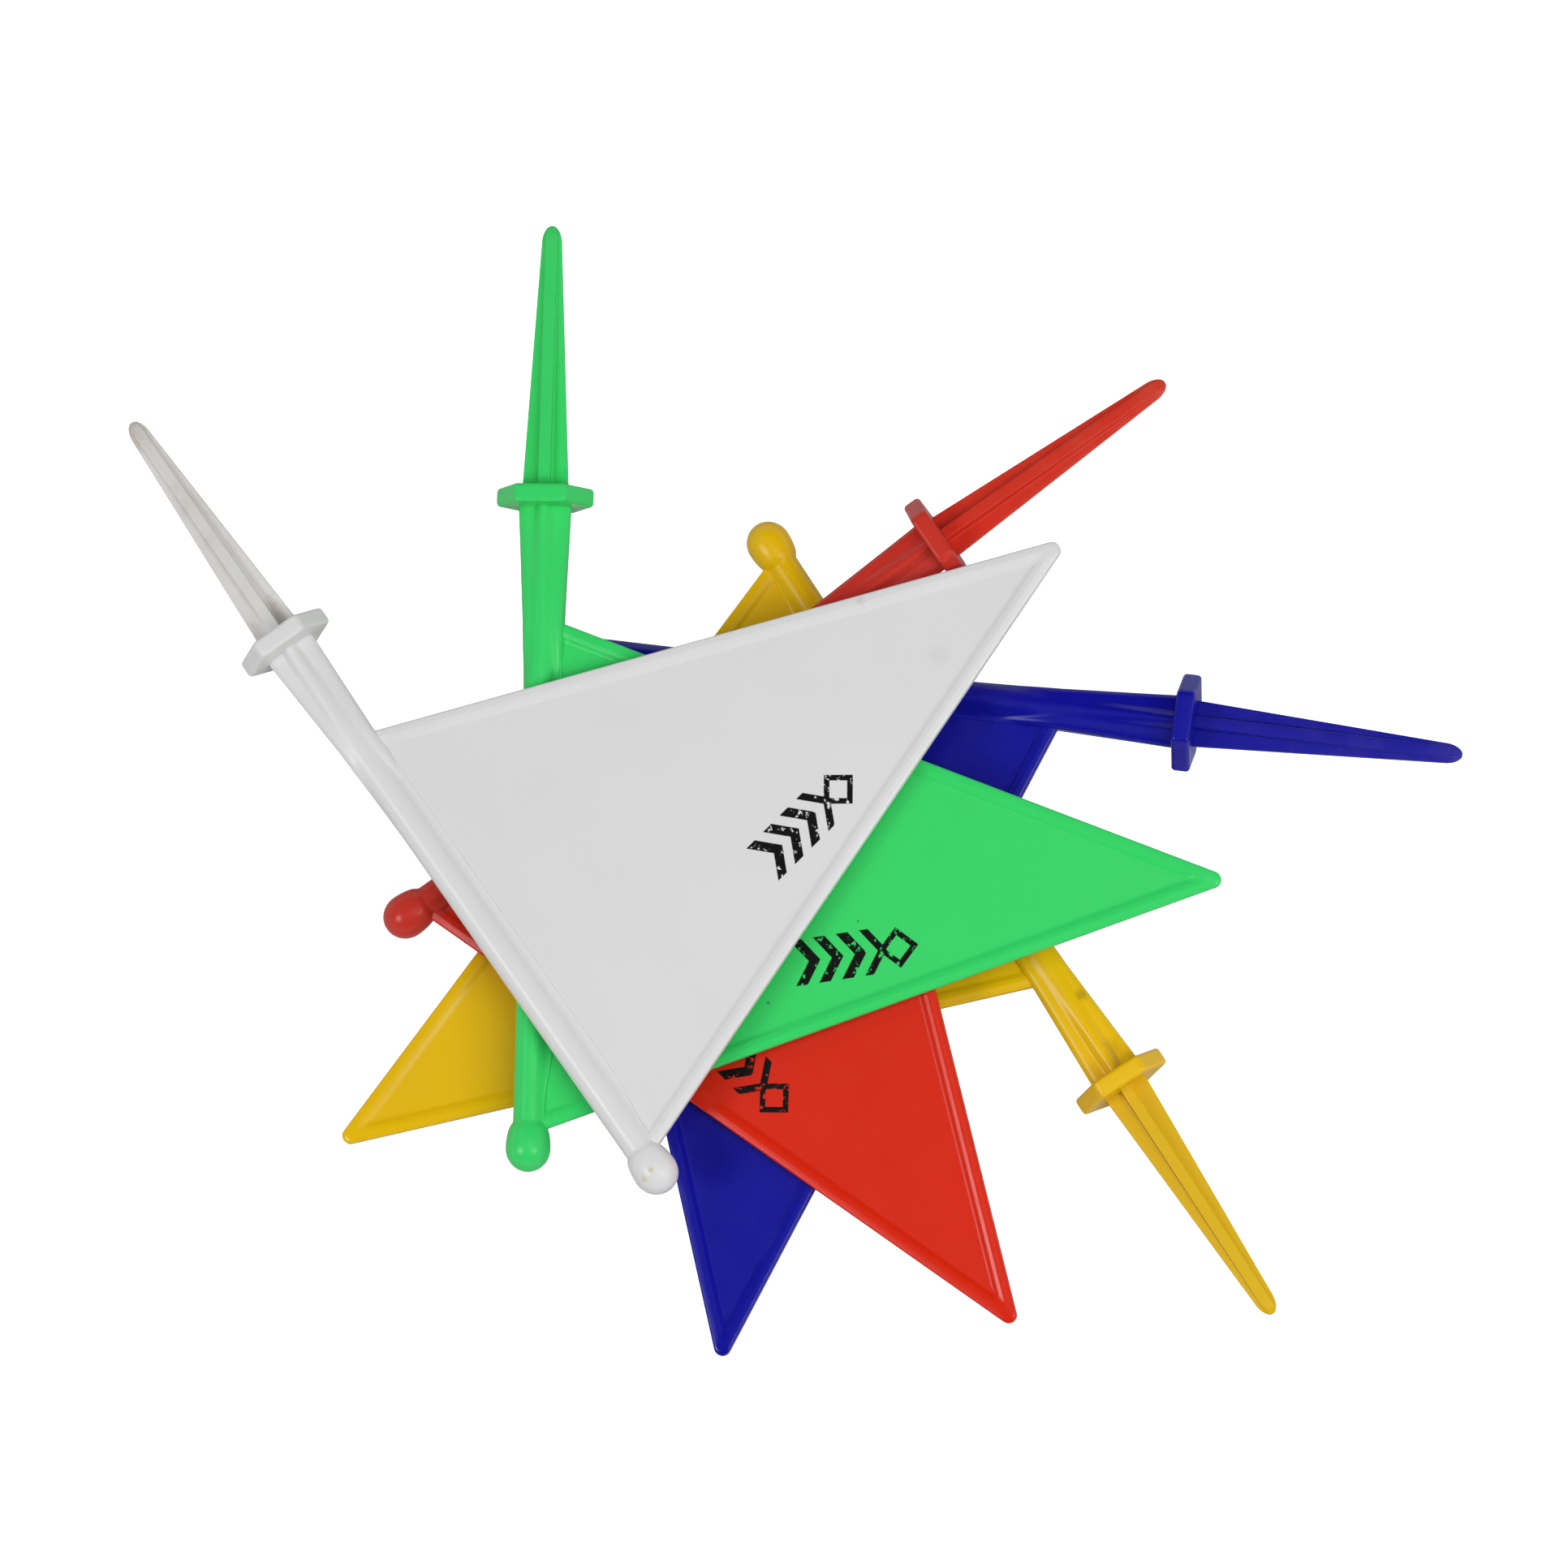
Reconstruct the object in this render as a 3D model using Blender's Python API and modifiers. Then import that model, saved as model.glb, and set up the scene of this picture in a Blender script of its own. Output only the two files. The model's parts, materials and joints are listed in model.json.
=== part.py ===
"""Five one-piece plastic boundary flags, lying across each other in a fan on flat ground.

Every flag is the same moulding: a ground spike, a hexagonal collar, a stem, a round pole with a ball on
its end, and a triangular pennant with a raised rim. The moulding is made once, in its planted frame:
Z runs up the pole from the middle of the collar, X runs out along the pennant, Y is the pennant's normal.
"""
import math

import bmesh
import bpy
from mathutils import Matrix, Vector

MM = 0.001
SMOOTH_ANGLE = math.radians(35)
MERGE = 0.00001

# Pole and ball
POLE_RADIUS = 4.2 * MM
BALL_RADIUS = 6.05 * MM
BALL_HEIGHT = 174.6 * MM
BALL_STRETCH = 1.04
NECK_LENGTH = 6.2 * MM
SHOULDER = -28
POLE_SIDES = 24
BALL_RINGS = 8

# Collar
COLLAR_ACROSS_CORNERS = 26.8 * MM
COLLAR_THICKNESS = 5.0 * MM
COLLAR_EDGE = 1.0 * MM

# Stem between the collar and the pennant
STEM_TOP = 34.0 * MM
STEM_WIDTH_AT_COLLAR = 14.6 * MM
STEM_FRONT_AT_TOP = 6.0 * MM
STEM_BACK_AT_TOP = 5.0 * MM
STEM_FIN_THICKNESS = 4.8 * MM
STEM_FIN_END = 62.0 * MM
STEM_CORE_WIDTH = 5.2 * MM
STEM_CORE_DEPTH = 8.8 * MM
STEM_CORE_TOP = 42.0 * MM
STEM_EDGE = 1.1 * MM

# Spike
SPIKE_LENGTH = 74.0 * MM
SPIKE_POINT_LENGTH = 5.0 * MM
BLADE_WIDTH = 12.8 * MM
BLADE_WIDTH_AT_POINT = 5.4 * MM
RIB_DEPTH = 8.8 * MM
RIB_DEPTH_AT_POINT = 4.2 * MM
RIB_SHORTER = 1.2 * MM
WEB_THICKNESS = 3.0 * MM
SPIKE_EDGE = 0.45 * MM
SPIKE_FILLET = 4.1 * MM
SPIKE_FILLET_AT_POINT = 1.8 * MM

# Pennant
HOIST_LENGTH = 135.0 * MM
HOIST_X = 5.9 * MM
APEX_X = 187.2 * MM
APEX_HEIGHT = 100.7 * MM
APEX_RADIUS = 2.2 * MM
RIM_THICKNESS = 3.8 * MM
RIM_EDGE = 0.8 * MM
RIM_WIDTH = 3.4 * MM
PANEL_THICKNESS = 2.0 * MM
RIM_SLOPE = 1.3 * MM
PANEL_CORNER = 0.9 * MM
OUTSIDE = 2.0 * MM
ROOT = 1.0 * MM

# How each flag lies, from the bottom of the pile up. The heading is the way its spike points, turning from
# +X towards +Y. Nose-up lifts the spike end and fly-up lifts the pennant's apex. The place is the middle of
# the collar, and each height leaves the flag just clear of the ones below it.
FLAGS = (
    dict(name="yellow_flag", place=(90.2, -82.4, 11.9), heading=-57.4, nose_up=1.9, fly_up=-2.1),
    dict(name="blue_flag", place=(108.1, 12.1, 25.3), heading=-8.0, nose_up=5.7, fly_up=-1.2),
    dict(name="red_flag", place=(42.1, 60.5, 30.4), heading=34.1, nose_up=7.5, fly_up=2.1),
    dict(name="green_flag", place=(-63.2, 73.9, 26.1), heading=88.6, nose_up=2.5, fly_up=4.7),
    dict(name="white_flag", place=(-132.8, 35.1, 25.6), heading=124.9, nose_up=-1.8, fly_up=3.8),
)
COLOURS = {
    "yellow_flag": (0.72, 0.46, 0.004),
    "blue_flag": (0.008, 0.006, 0.26),
    "red_flag": (0.66, 0.026, 0.010),
    "green_flag": (0.045, 0.66, 0.145),
    "white_flag": (0.69, 0.69, 0.70),
}
PLASTIC_ROUGHNESS = 0.35


def clear_scene():
    for thing in list(bpy.data.objects):
        bpy.data.objects.remove(thing, do_unlink=True)


def collection(name):
    made = bpy.data.collections.new(name)
    bpy.context.scene.collection.children.link(made)
    return made


def mesh_object(name, points, faces, home):
    mesh = bpy.data.meshes.new(name)
    mesh.from_pydata([tuple(p) for p in points], [], faces)
    mesh.validate()
    made = bpy.data.objects.new(name, mesh)
    home.objects.link(made)
    return made


def bevel(thing, width, segments=1, angle=math.radians(30)):
    step = thing.modifiers.new("edges", "BEVEL")
    step.width = width
    step.segments = segments
    step.limit_method = "ANGLE"
    step.angle_limit = angle


def plate(name, outline, thickness, home, middle=0.0):
    """A flat piece in the pennant's plane, its outline given as (x, z), centred on y = middle."""
    points = [(x, middle, z) for x, z in outline]
    made = mesh_object(name, points, [tuple(range(len(points)))], home)
    step = made.modifiers.new("thickness", "SOLIDIFY")
    step.thickness = thickness
    step.offset = 0.0
    return made


def turned(name, profile, sides, home):
    """A solid of revolution about Z from (radius, z) points that run from its top to its bottom."""
    points = [(radius, 0.0, z) for radius, z in profile]
    mesh = bpy.data.meshes.new(name)
    mesh.from_pydata(points, [(i, i + 1) for i in range(len(points) - 1)], [])
    made = bpy.data.objects.new(name, mesh)
    home.objects.link(made)
    step = made.modifiers.new("turn", "SCREW")
    step.axis = "Z"
    step.steps = sides
    step.render_steps = sides
    step.use_merge_vertices = True
    step.merge_threshold = MERGE
    return made


def cone(name, sides, bottom_radius, top_radius, z_bottom, z_top, home):
    """A tapering bar about Z with its first corner over +X."""
    made = mesh_object(name, [], [], home)
    shape = bmesh.new()
    bmesh.ops.create_cone(
        shape, cap_ends=True, segments=sides, radius1=bottom_radius, radius2=top_radius, depth=z_top - z_bottom)
    quarter_turn = Matrix.Rotation(math.pi / 2, 3, "Z")
    bmesh.ops.rotate(shape, verts=shape.verts, cent=(0, 0, 0), matrix=quarter_turn)
    bmesh.ops.translate(shape, verts=shape.verts, vec=(0, 0, (z_bottom + z_top) / 2))
    shape.to_mesh(made.data)
    shape.free()
    return made


def pole(home):
    """The ball, its neck and the pole, which flattens into the stem's core as it nears the collar."""
    profile = [(0.0, BALL_HEIGHT + BALL_RADIUS * BALL_STRETCH)]
    for i in range(1, BALL_RINGS + 1):
        angle = math.radians(90 + (SHOULDER - 90) * i / BALL_RINGS)
        height = BALL_HEIGHT + BALL_RADIUS * BALL_STRETCH * math.sin(angle)
        profile.append((BALL_RADIUS * math.cos(angle), height))
    profile.append((POLE_RADIUS, BALL_HEIGHT - NECK_LENGTH))
    profile.append((POLE_RADIUS, STEM_CORE_TOP))
    profile.append((POLE_RADIUS, -ROOT))
    profile.append((0.0, -ROOT))
    made = turned("pole", profile, POLE_SIDES, home)
    bpy.context.view_layer.update()
    solid = bpy.data.meshes.new_from_object(made.evaluated_get(bpy.context.evaluated_depsgraph_get()))
    for vertex in solid.vertices:
        if vertex.co.z < 0:
            vertex.co.x *= STEM_CORE_WIDTH / (2 * POLE_RADIUS)
            vertex.co.y *= STEM_CORE_DEPTH / (2 * POLE_RADIUS)
    made.modifiers.clear()
    made.data = solid
    return made


def collar(home):
    radius = COLLAR_ACROSS_CORNERS / 2
    made = cone("collar", 6, radius, radius, -COLLAR_THICKNESS / 2, COLLAR_THICKNESS / 2, home)
    bevel(made, COLLAR_EDGE, segments=2)
    return made


def stem_fins(home):
    half = STEM_WIDTH_AT_COLLAR / 2
    outline = [
        (half, -ROOT),
        (STEM_FRONT_AT_TOP, STEM_TOP),
        (0.0, STEM_FIN_END),
        (-POLE_RADIUS + STEM_EDGE, STEM_FIN_END),
        (-STEM_BACK_AT_TOP, STEM_TOP),
        (-half, -ROOT),
    ]
    fins = plate("stem_fins", outline, STEM_FIN_THICKNESS, home)
    bevel(fins, STEM_EDGE, segments=2)
    return fins


def spike_outline(width, width_at_point, length):
    """The outline of one web of the spike, which narrows evenly and then rounds off to a blunt point."""
    shoulder = -length + SPIKE_POINT_LENGTH
    half = width_at_point / 2
    side = [(width / 2, ROOT), (half, shoulder)]
    for i in (1, 2, 3):
        angle = math.radians(25 * i)
        side.append((half * math.cos(angle), shoulder - SPIKE_POINT_LENGTH * math.sin(angle)))
    return side + [(-x, z) for x, z in reversed(side)]


def spike(home):
    blade_outline = spike_outline(BLADE_WIDTH, BLADE_WIDTH_AT_POINT, SPIKE_LENGTH)
    blade = plate("spike_blade", blade_outline, WEB_THICKNESS, home)
    bevel(blade, SPIKE_EDGE)
    rib_outline = spike_outline(RIB_DEPTH, RIB_DEPTH_AT_POINT, SPIKE_LENGTH - RIB_SHORTER)
    rib = plate("spike_rib", rib_outline, WEB_THICKNESS, home)
    rib.data.transform(Matrix.Rotation(math.pi / 2, 4, "Z"))
    bevel(rib, SPIKE_EDGE)
    shoulder = -SPIKE_LENGTH + SPIKE_POINT_LENGTH
    fillet = cone("spike_fillet", 4, SPIKE_FILLET_AT_POINT, SPIKE_FILLET, shoulder, ROOT, home)
    return [blade, rib, fillet]


def pennant_edges():
    """The pennant's lower and upper free edges as (point on the pole's side, apex) pairs of (x, z)."""
    apex = Vector((APEX_X, APEX_HEIGHT))
    low = Vector((HOIST_X, STEM_TOP))
    high = Vector((HOIST_X, STEM_TOP + HOIST_LENGTH))
    return (low, apex), (high, apex)


def along(edge, x, inset):
    """The height at x of an edge moved inwards by inset."""
    start, end = edge
    slope = (end.y - start.y) / (end.x - start.x)
    inwards = 1 if start.y < end.y else -1
    return start.y + slope * (x - start.x) + inwards * inset * math.hypot(1, slope)


def pennant_outline(inset, x_start, corner_radius):
    """A triangle inside the pennant's edges by inset, from x_start out to an apex rounded by corner_radius."""
    lower, upper = pennant_edges()
    slopes = [(end.y - start.y) / (end.x - start.x) for start, end in (lower, upper)]
    gap = along(upper, x_start, inset) - along(lower, x_start, inset)
    apex_x = x_start + gap / (slopes[0] - slopes[1])
    apex_z = along(lower, apex_x, inset)
    rises = [math.atan(slope) for slope in slopes]
    half_angle = (rises[0] - rises[1]) / 2
    middle_direction = (rises[0] + rises[1]) / 2
    back = corner_radius / math.sin(half_angle)
    centre = (apex_x - back * math.cos(middle_direction), apex_z - back * math.sin(middle_direction))
    outline = [(x_start, along(upper, x_start, inset)), (x_start, along(lower, x_start, inset))]
    steps = 6
    first = rises[0] - math.pi / 2
    last = rises[1] + math.pi / 2
    for i in range(steps + 1):
        angle = first + (last - first) * i / steps
        outline.append((centre[0] + corner_radius * math.cos(angle), centre[1] + corner_radius * math.sin(angle)))
    return outline


def pennant(home):
    sheet = plate("pennant", pennant_outline(0.0, 0.0, APEX_RADIUS), RIM_THICKNESS, home)
    bevel(sheet, RIM_EDGE, segments=2)
    recess = pennant_outline(RIM_WIDTH, POLE_RADIUS / 2, RIM_SLOPE + PANEL_CORNER)
    for side in (-1, 1):
        depth = (PANEL_THICKNESS / 2 + OUTSIDE) * side
        cutter = plate("recess", recess, 2 * OUTSIDE, home, middle=depth)
        bevel(cutter, RIM_SLOPE)
        combine(sheet, cutter, "DIFFERENCE")
    return sheet


def combine(thing, other, operation):
    step = thing.modifiers.new(other.name, "BOOLEAN")
    step.solver = "EXACT"
    step.operation = operation
    step.object = other
    other.hide_render = True
    other.display_type = "WIRE"


def moulding(home):
    """The whole flag as one mesh."""
    body = pole(home)
    for piece in [collar(home), stem_fins(home), *spike(home), pennant(home)]:
        combine(body, piece, "UNION")
    bpy.context.view_layer.update()
    mesh = bpy.data.meshes.new_from_object(body.evaluated_get(bpy.context.evaluated_depsgraph_get()))
    for thing in list(home.objects):
        bpy.data.objects.remove(thing, do_unlink=True)
    return mesh


def plastic(name):
    made = bpy.data.materials.new(name)
    made.use_nodes = True
    shader = made.node_tree.nodes["Principled BSDF"]
    shader.inputs["Base Color"].default_value = (*COLOURS[name], 1.0)
    shader.inputs["Roughness"].default_value = PLASTIC_ROUGHNESS
    shader.inputs["Metallic"].default_value = 0.0
    return made


def lying(flag):
    """The place of a flag on the ground: laid on its back, then rolled, lifted at the nose and turned."""
    laid_down = Matrix(((0, 0, -1), (-1, 0, 0), (0, 1, 0)))
    turn = Matrix.Rotation(math.radians(flag["heading"]), 3, "Z")
    lift = Matrix.Rotation(-math.radians(flag["nose_up"]), 3, "Y")
    roll = Matrix.Rotation(-math.radians(flag["fly_up"]), 3, "X")
    facing = (turn @ lift @ roll @ laid_down).to_4x4()
    return Matrix.Translation(Vector(flag["place"]) * MM) @ facing


def set_on_ground(flags):
    """Moves the whole fan so that it stands on z = 0 with the middle of its bounding box over the origin."""
    corners = [flag.matrix_world @ vertex.co for flag in flags for vertex in flag.data.vertices]
    low = Vector([min(corner[axis] for corner in corners) for axis in range(3)])
    high = Vector([max(corner[axis] for corner in corners) for axis in range(3)])
    foot = Vector(((low.x + high.x) / 2, (low.y + high.y) / 2, low.z))
    for flag in flags:
        flag.location -= foot


def main():
    clear_scene()
    workshop = collection("cutters")
    fan = collection("boundary_flags")
    mesh = moulding(workshop)
    mesh.name = "flag_moulding"
    mesh.materials.clear()
    mesh.materials.append(None)
    flags = []
    for flag in FLAGS:
        made = bpy.data.objects.new(flag["name"], mesh)
        fan.objects.link(made)
        made.matrix_world = lying(flag)
        made.material_slots[0].link = "OBJECT"
        made.material_slots[0].material = plastic(flag["name"])
        flags.append(made)
    bpy.context.view_layer.update()
    set_on_ground(flags)
    mesh.shade_smooth()
    mesh.set_sharp_from_angle(angle=SMOOTH_ANGLE)


main()
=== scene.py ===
import json
import math

import bmesh
import bpy
import numpy as np
from mathutils import Matrix, Vector


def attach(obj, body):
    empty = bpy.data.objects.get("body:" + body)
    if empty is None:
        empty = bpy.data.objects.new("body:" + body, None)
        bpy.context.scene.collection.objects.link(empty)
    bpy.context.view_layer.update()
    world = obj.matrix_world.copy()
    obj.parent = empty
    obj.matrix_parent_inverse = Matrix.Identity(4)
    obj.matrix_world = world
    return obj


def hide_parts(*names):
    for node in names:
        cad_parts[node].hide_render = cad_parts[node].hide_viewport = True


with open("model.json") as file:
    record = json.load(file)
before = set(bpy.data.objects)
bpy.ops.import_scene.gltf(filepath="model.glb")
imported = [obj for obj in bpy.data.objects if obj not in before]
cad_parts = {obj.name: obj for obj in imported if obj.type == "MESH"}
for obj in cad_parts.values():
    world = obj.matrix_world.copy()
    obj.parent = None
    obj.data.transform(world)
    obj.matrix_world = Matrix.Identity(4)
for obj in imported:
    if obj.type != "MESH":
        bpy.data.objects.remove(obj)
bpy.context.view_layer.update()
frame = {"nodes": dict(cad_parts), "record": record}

# Five one-piece plastic boundary flags, lying across each other in a fan on pale ground.
#
# One moulding is made in its planted frame, in millimetres: Z runs up the pole from the middle of the
# collar, X runs out along the pennant, and Y is the pennant's normal, its printed side facing +Y. A copy is
# then laid over each flag of the CAD frame, whose collar seat and farthest corner say how it lies.

FLAGS = ("yellow", "blue", "red", "green", "white")
MM = 0.001
TINY = 1e-9

# ================================================================ sizes of the moulding, in millimetres
# The pole and its ball, which is drawn out towards the pole and nearly round at its end.
POLE_RADIUS = 4.2
BALL_RADIUS = 6.0
BALL_HEIGHT = 174.6
BALL_TALL = 6.3
SHOULDER_TALL = 10.6
SHOULDER_LENGTH = 5.5
NECK_LENGTH = 7.0

COLLAR_ACROSS_CORNERS = 26.8
COLLAR_THICKNESS = 5.0
COLLAR_EDGE = 1.1
COLLAR_EDGE_STEPS = 4
# Where the collar meets the ground beside the spike: the seat that the record gives for each flag.
SEAT = Vector((-8.55, 0.0, -COLLAR_THICKNESS / 2))
# How far the stem and the spike run into the collar.
ROOT = 1.0

# The stem: a core that turns into the round pole, and a fin on each side of it that thins out up the pole.
STEM_TOP = 34.0
STEM_WIDTH_AT_COLLAR = 14.6
STEM_FRONT_AT_TOP = 6.0
STEM_BACK_AT_TOP = 5.0
STEM_FIN_HALF = 2.4
STEM_FIN_HALF_AT_TOP = 3.7
STEM_FIN_END = 62.0
STEM_FIN_EDGE = 1.9
STEM_FIN_EDGE_SHARE = 0.9
FIN_TAPER = 0.45
FIN_TAPER_AT_TOP = 0.1
STEM_CORE_WIDTH = 4.8
STEM_CORE_DEPTH = 8.8
STEM_CORE_TOP = 42.0
STEM_VALLEY = 0.9

# The spike: a broad rib on a thinner web, ending in a blunt point.
SPIKE_LENGTH = 74.0
SPIKE_POINT = 5.0
BLADE_WIDTH = 12.8
BLADE_WIDTH_AT_POINT = 5.4
RIB_DEPTH = 8.8
RIB_DEPTH_AT_POINT = 4.2
RIB_HALF = 1.6
WEB_HALF = 1.05
WEB_EDGE = 0.5
WEB_EDGE_SHARE = 0.45
WEB_FILLET = 0.7
WEB_FILLET_SHARE = 0.6
LEAST_FILLET = 0.01
LEAST_LEDGE = 0.05
POINT_THINNING = 0.7

# The pennant: a flat panel, and a raised rim along its two free edges, which run from HOIST_X to the rounded
# apex. The sheet starts inside the pole, at PENNANT_X for its edge and at PANEL_X for the panel.
HOIST_X = 5.9
HOIST_LENGTH = 135.0
HOIST_TOP = STEM_TOP + HOIST_LENGTH
APEX_X = 187.2
APEX_HEIGHT = 100.7
APEX_RADIUS = 2.2
APEX_TIGHTENING = 0.4
APEX_RADIUS_INSIDE = 0.7
PANEL_HALF = 1.0
PANEL_X = 2.9
PENNANT_X = 0.6
PENNANT_X_SLANT = 0.45
RIM_HALF = 1.9
RIM_EDGE = 0.85
RIM_EDGE_DROP = 0.15
RIM_CREST = 2.2
RIM_FOOT = 4.9
RIM_TO_PANEL = 0.4
# Points over the rim's crest, and where the fall to the panel starts: how far inwards of the crest, and how
# far below it.
RIM_CROWN = ((-0.45, 0.03), (-0.15, 0.0), (0.15, 0.03))
RIM_SHOULDER = (0.5, 0.14)

# The strip along the pole that the panel runs into, with a hollow fillet between the two.
HOIST_STRIP_X = 6.1
HOIST_STRIP_X_AT_BALL = 4.4
HOIST_STRIP_NARROWS = (148.0, 163.0)
HOIST_STRIP_HALF = 1.3
HOIST_STRIP_EDGE = 0.25
HOIST_STRIP_START = STEM_TOP + 1.0
HOIST_STRIP_END = HOIST_TOP - 1.0
HOIST_STRIP_RUNOUT = 2.0
HOIST_FILLET = 3.0

# How finely the shapes are cut.
SPINE_POINTS = 96
STEM_STEPS = 42
POLE_STEPS = 23
POLE_END_LENGTH = 4.0
POLE_END_STEPS = 8
NECK_STEPS = 3
SHOULDER_STEPS = 12
BALL_RINGS = 22
BALL_RING_ANGLE = math.radians(4)
EDGE_STEPS = 4
FILLET_STEPS = 6
SPIKE_STEPS = 14
POINT_STEPS = 10
RIM_EDGE_STEPS = 6
RIM_FALL_STEPS = 8
APEX_STEPS = 12
SHARP_CORNER = math.radians(30)
SHARP_CREASE = math.radians(38)

# ================================================================ finish of the plastic
COLOURS = {
    "yellow": (0.87, 0.53, 0.003),
    "blue": (0.005, 0.005, 0.33),
    "red": (0.74, 0.022, 0.005),
    "green": (0.042, 0.715, 0.152),
    "white": (0.775, 0.772, 0.772),
}
# Darker copies of the plastic, painted shade. The first is painted shade and sheen that make the red darker
# and greyer where it is thick (stem, pole, ball and collar); the second is painted shade on the spike.
# The colour turns to the thick one from the first to the second of each pair, in front of the pole and down
# the stem.
SHADED_THICK_COLOURS = {"red": (0.60, 0.033, 0.02)}
SHADED_SPIKE_COLOURS = {"red": (0.68, 0.027, 0.010), "yellow": (0.76, 0.475, 0.002)}
THICK_X = (6.2, 5.6)
THICK_Z = (24.0, 20.0)
SPIKE_FADE = 0.5

# Patterns are laid out in the planted frame. A noise is its scale, detail and roughness, and a range such as
# CLOUD_RANGE holds the two values of the noise between which the pattern fades in.
CLOUD_NOISE = (0.035, 3.0)
CLOUD_RANGE = (0.3, 0.7)
CLOUD_STRENGTH = 0.03
CLOUD_SHADE = 0.4

# Soil sets in just above the collar, grows down the spike, and grows again between the two
# SOIL_POINT_LENGTHS from its tip.
SOIL = (0.45, 0.36, 0.24)
SOIL_ON_SPIKE = {"yellow": 0.0, "blue": 0.02, "red": 0.04, "green": 0.02, "white": 0.22}
SOIL_NOISE = (0.12, 4.0, 0.6)
SOIL_RANGE = (0.4, 0.75)
SOIL_BETWEEN_PATCHES = 0.5
SOIL_TOP = 4.0
SOIL_POINT_LENGTHS = (12.0, 4.0)
SOIL_POINT_GAIN = 1.5

# Single marks on each flag: middle in the planted frame, radius, how many times taller than wide, strength
# and tint.
BROWN = (0.33, 0.24, 0.14)
OCHRE = (0.62, 0.50, 0.16)
GREY = (0.35, 0.35, 0.36)
UMBER = (0.16, 0.09, 0.01)
BLACK = (0.02, 0.02, 0.02)
MARKS = {
    # On the yellow flag, two umber patches darken the stem just above the collar.
    "yellow": [((-3.5, 3.0, 25.0), 2.4, 1.0, 0.4, UMBER), ((-3.0, 2.0, 9.0), 4.0, 1.0, 0.25, UMBER)],
    "blue": [((60.0, 1.0, 100.0), 6.0, 1.0, 0.25, BLACK)],
    "red": [((96.0, 1.0, 60.0), 5.0, 1.0, 0.04, BLACK)],
    "green": [((63.5, 1.0, 135.0), 0.5, 1.0, 0.9, BLACK), ((87.0, 1.0, 113.0), 0.4, 1.0, 0.8, BLACK)],
    "white": [
        ((2.9, 1.2, -7.0), 2.8, 3.0, 0.42, BROWN),
        ((-4.5, 1.2, -6.0), 2.6, 2.0, 0.2, BROWN),
        ((-0.5, 6.0, 174.5), 1.2, 1.0, 0.6, OCHRE),
        ((-3.3, 4.9, 175.3), 1.3, 1.0, 0.45, OCHRE),
        ((140.0, 1.0, 106.0), 4.0, 1.0, 0.10, GREY),
        ((131.5, 1.9, 82.0), 2.0, 1.0, 0.25, SOIL),
    ],
}
MARK_RAGGEDNESS = 1.3
MARK_NOISE_PER_RADIUS = 1.6
MARK_NOISE = (4.0, 0.65)
MARK_CORE = 0.2

SPECK_SPACING = 9.0
SPECK_RADIUS = 0.2
SPECK_CORE = 0.6
SPECK_SHARE = 0.22
SPECK_SHADE = 0.35

# The stamp on the pennant's +Y side, a row of chevrons and a diamond along a slightly turned line.
INK = (0.006, 0.006, 0.006)
INK_EDGE = 0.25
INK_THICKNESS = 0.01
PRINT_X = 84.8
PRINT_HEIGHT = 122.0
PRINT_TURN = math.radians(-9.5)
PRINT_SIDE_Y = (0.4, 0.6)
CHEVRON_PITCH = 6.2
CHEVRON_HALF = 1.45
CHEVRON_SLANT = 0.7
CHEVRON_REACH = 6.0
CHEVRON_START = 12.0
CHEVRON_END = 10.0
DIAMOND_U = 13.2
DIAMOND_REACH = 4.4
DIAMOND_HALF = 0.95
FLAKE_NOISE = (0.7, 5.0, 0.62)
FLAKE_RANGE = (0.36, 0.41)

# Roughness, shine and relief.
DULL_NOISE = (0.12, 3.0)
DULL_RANGE = (0.3, 0.7)
DULL_ROUGHNESS = (0.285, 0.32)
SCUFF_STRETCH = (0.3, 1.0, 1.6)
SCUFF_NOISE = (0.5, 4.0, 0.7)
SCUFF_RANGE = (0.54, 0.7)
SCUFF_ROUGHNESS = 0.05
RIM_SHINE = 0.09
RIM_SHINE_Y = (1.05, 1.3)
RIM_SHINE_X = (7.0, 9.0)
SOIL_ROUGHNESS = 0.3
INK_ROUGHNESS = 0.15
SPECULAR = 0.4
INK_SPECULAR_LOSS = 0.25
GRAIN_NOISE = (3.0, 2.0)
GRAIN_DEPTH = 0.0012
WAVE_NOISE = (0.06, 1.0)
WAVE_DEPTH = 0.012

# ================================================================ stage, in metres and watts
FLOOR_HALF = 3.0
FLOOR_COLOUR = (0.6, 0.6, 0.6, 1.0)
FLOOR_ROUGHNESS = 0.9
FLOOR_SPECULAR = 0.1
WHITE_LIGHT = (1.0, 1.0, 1.0, 1.0)

# Square lamps aimed at the middle of the flags: name, azimuth, elevation, power, size, and whether the
# plastic shows its reflection.
LAMP_DISTANCE = 1.3
LAMPS = (
    ("left_softbox", 206, 48, 4.4, 0.42, True),
    ("right_softbox", -28, 50, 3.4, 0.38, True),
    ("right_fill", -34, 68, 3.8, 0.5, False),
    ("side_fill", 0, 30, 2.0, 0.5, False),
    ("back_fill", 150, 46, 1.6, 0.5, False),
    ("top_fill", 0, 88, 2.6, 0.5, False),
)
# The surroundings are bright at the horizon and dark overhead: heights of a unit ray, and strengths there.
SKY_HEIGHTS = (0.1, 0.4)
SKY_STRENGTHS = (0.95, 0.02)

# A long lens nearly overhead. VIEW_WIDTH is what the square frame spans at the place looked at.
CAMERA_DISTANCE = 2.122
CAMERA_SENSOR = 36
CAMERA_FARTHEST = 20
CAMERA_SIDE = math.radians(-1.859)
CAMERA_TILT = math.radians(-8.704)
VIEW_WIDTH = 0.423035
LOOK_AT = Vector((-0.00252, 0.00380, 0.00003))


# ================================================================ plain helpers
def ease(t):
    """From 0 to 1 along a smooth step as t goes from 0 to 1."""
    t = min(max(t, 0.0), 1.0)
    return t * t * (3 - 2 * t)


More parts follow.
